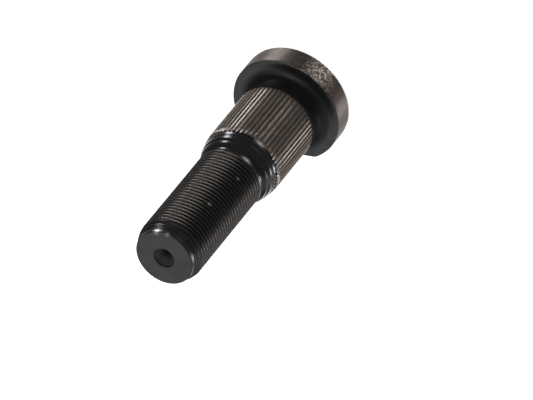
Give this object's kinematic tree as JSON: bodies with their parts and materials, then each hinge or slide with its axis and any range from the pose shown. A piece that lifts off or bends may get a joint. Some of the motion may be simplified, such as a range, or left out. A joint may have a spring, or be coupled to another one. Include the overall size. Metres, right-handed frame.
{
  "type": "wheel bolt",
  "caption": "Blackened steel wheel stud: round head, straight-ribbed press-in shank, neck with two soft rings, fine thread and plain centred point.",
  "frame": {"origin": "centre of the head's flat outer face, which the stud stands on", "axes": "+Z along the shank, from the head to the threaded point; the small flat on the head's rim faces +Y"},
  "size_m": [0.0368, 0.0345, 0.0919],
  "materials": {
    "blackened_steel": "oiled black oxide on forged, turned and rolled steel, satin"
  },
  "bodies": {
    "root": {"wheel_bolt": "blackened_steel"}
  },
  "joints": []
}
